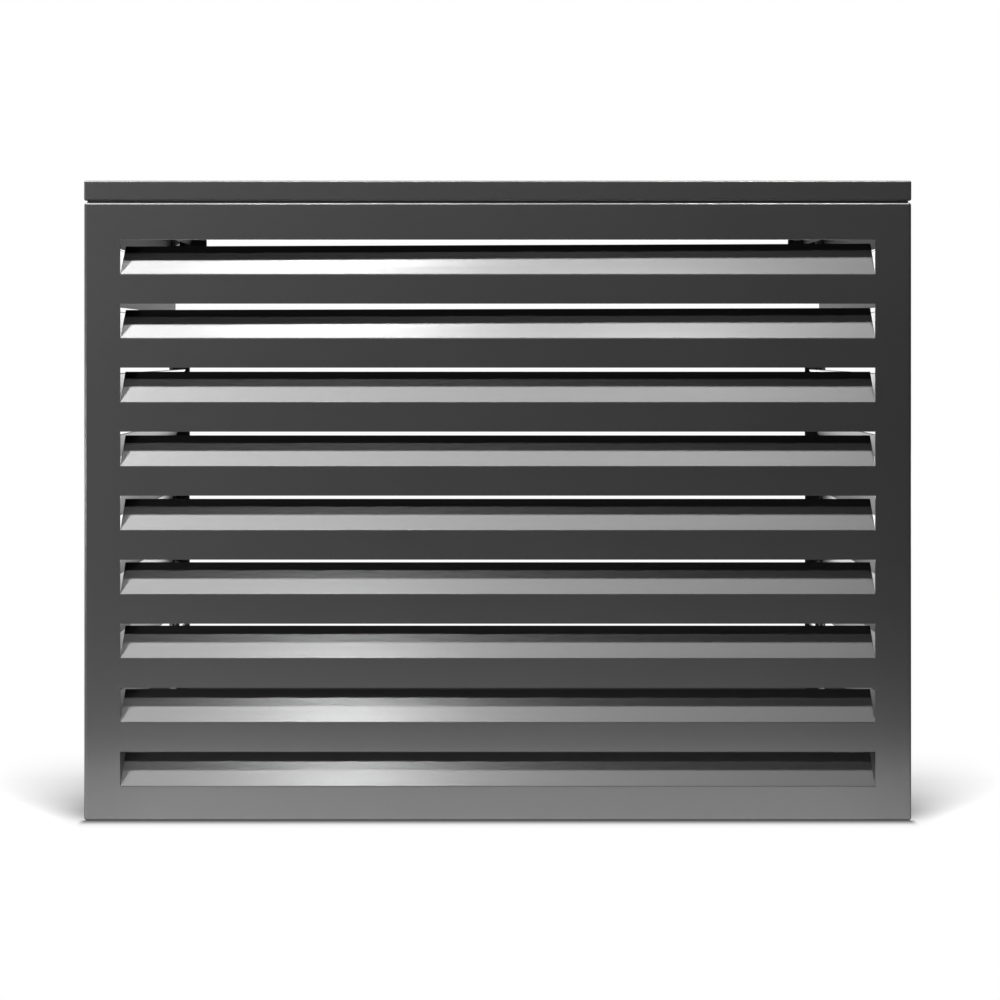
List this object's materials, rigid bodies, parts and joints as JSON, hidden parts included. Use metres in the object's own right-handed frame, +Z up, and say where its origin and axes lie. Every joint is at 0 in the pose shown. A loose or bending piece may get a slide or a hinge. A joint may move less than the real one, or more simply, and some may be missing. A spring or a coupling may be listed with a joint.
{
  "type": "air conditioner screen",
  "caption": "Louvred sheet-metal screen that stands round an outdoor air conditioner unit, open at the back, with a lift-off lid.",
  "frame": {"origin": "on the floor, in the middle of the footprint", "axes": "+X to the right seen from the front, +Y from the front towards the wall, +Z up"},
  "size_m": [0.9054, 0.55, 0.6963],
  "materials": {
    "powder_coat": "fine-texture satin powder coat, anthracite",
    "galvanised": "zinc-coated steel, dull",
    "screws": "stainless steel, satin",
    "black_screws": "black coated steel, satin",
    "rubber": "matt black rubber"
  },
  "bodies": {
    "casing": {"front_panel": "powder_coat", "left_side_panel": "powder_coat", "right_side_panel": "powder_coat", "pin_bushes": "rubber", "left_wall_angle": "powder_coat", "right_wall_angle": "powder_coat", "left_top_bracket": "powder_coat", "right_top_bracket": "powder_coat", "left_join_screws": "screws", "right_join_screws": "screws", "left_join_washers": "screws", "right_join_washers": "screws", "left_join_nuts": "galvanised", "right_join_nuts": "galvanised", "left_angle_screws": "black_screws", "right_angle_screws": "black_screws", "left_angle_nuts": "screws", "right_angle_nuts": "screws", "left_bracket_screws": "black_screws", "right_bracket_screws": "black_screws", "left_bracket_nuts": "black_screws", "right_bracket_nuts": "black_screws"},
    "lid": {"lid": "powder_coat", "lid_stiffener": "powder_coat", "lid_pins": "screws", "lid_seal": "rubber"}
  },
  "joints": [
    {"name": "lid_lift", "type": "slide", "parent": "casing", "child": "lid", "axis": [0, 0, 1], "range_m": [0, 0.25]}
  ]
}
